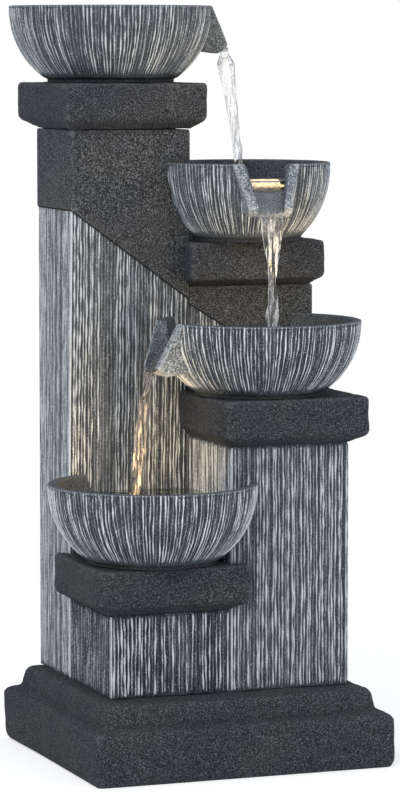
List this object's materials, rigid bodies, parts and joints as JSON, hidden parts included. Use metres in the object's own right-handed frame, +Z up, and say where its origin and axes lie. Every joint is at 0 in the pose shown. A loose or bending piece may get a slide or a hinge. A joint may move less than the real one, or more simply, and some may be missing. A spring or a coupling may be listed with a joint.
{
  "type": "waterfall fountain",
  "caption": "Garden waterfall fountain: stepped ribbed columns carry bowls that spill water from one to the next into a plinth with a hidden pump.",
  "frame": {"origin": "centre of the plinth's flat underside, on the floor", "axes": "X to the fountain's right as seen from the front, Y to its rear, Z up along its height"},
  "size_m": [0.3666, 0.3818, 0.8364],
  "materials": {
    "stone_plain": "dark grey cast stone, fine sandy grain, matt",
    "stone_carved": "dark cast stone with carved ridges, pale paint rubbed over the crests, matt",
    "plastic_black": "black moulded plastic",
    "plastic_white": "white moulded plastic",
    "rubber": "black rubber",
    "tube_clear": "clear flexible vinyl hose",
    "ceramic": "ground white ceramic",
    "magnet_grey": "sintered ferrite magnet, dark grey",
    "board_white": "white circuit board with light chips",
    "lens_warm": "clear lens over warm white light"
  },
  "bodies": {
    "fountain_body": {"bottom_bowl": "stone_carved", "bottom_lamp_board": "board_white", "bottom_lamp_cup": "plastic_black", "bottom_lamp_lens": "lens_warm", "bottom_lamp_nut": "plastic_black", "bottom_ledge": "stone_plain", "cord_grommet": "rubber", "door_seal": "rubber", "drain_pipe": "plastic_black", "drain_strainer": "plastic_black", "front_block": "stone_carved", "front_pedestal": "stone_carved", "impeller_shaft": "ceramic", "plinth": "stone_plain", "pump_cover": "plastic_black", "pump_foot_front_left": "rubber", "pump_foot_front_right": "rubber", "pump_foot_rear_left": "rubber", "pump_foot_rear_right": "rubber", "pump_housing": "plastic_black", "right_column": "stone_carved", "riser_tube": "tube_clear", "second_bowl": "stone_carved", "second_lamp_board": "board_white", "second_lamp_cup": "plastic_black", "second_lamp_lens": "lens_warm", "second_lamp_nut": "plastic_black", "second_ledge": "stone_plain", "tall_column": "stone_carved", "third_bowl": "stone_carved", "third_lamp_board": "board_white", "third_lamp_cup": "plastic_black", "third_lamp_lens": "lens_warm", "third_lamp_nut": "plastic_black", "third_ledge": "stone_plain"},
    "top_section": {"top_ledge": "stone_plain", "top_bowl": "stone_carved", "inlet_pipe": "plastic_black", "inlet_seal": "rubber"},
    "pump_impeller": {"impeller": "plastic_white", "impeller_magnet": "magnet_grey"},
    "pump_flow_dial": {"flow_dial": "plastic_white"},
    "rear_door": {"access_door": "stone_plain"}
  },
  "joints": [
    {"name": "top_lift", "type": "slide", "parent": "fountain_body", "child": "top_section", "axis": [0, 0, 1], "range_m": [0, 0.06]},
    {"name": "impeller_spin", "type": "hinge", "parent": "fountain_body", "child": "pump_impeller", "pos_m": [-0.07057, 0.088, 0.044], "axis": [0, 1, 0], "continuous": true},
    {"name": "flow_dial_turn", "type": "hinge", "parent": "fountain_body", "child": "pump_flow_dial", "pos_m": [-0.07057, 0.1145, 0.052], "axis": [0, 1, 0], "range_deg": [0, 90]},
    {"name": "door_off", "type": "slide", "parent": "fountain_body", "child": "rear_door", "axis": [0, 1, 0], "range_m": [0, 0.08]}
  ]
}
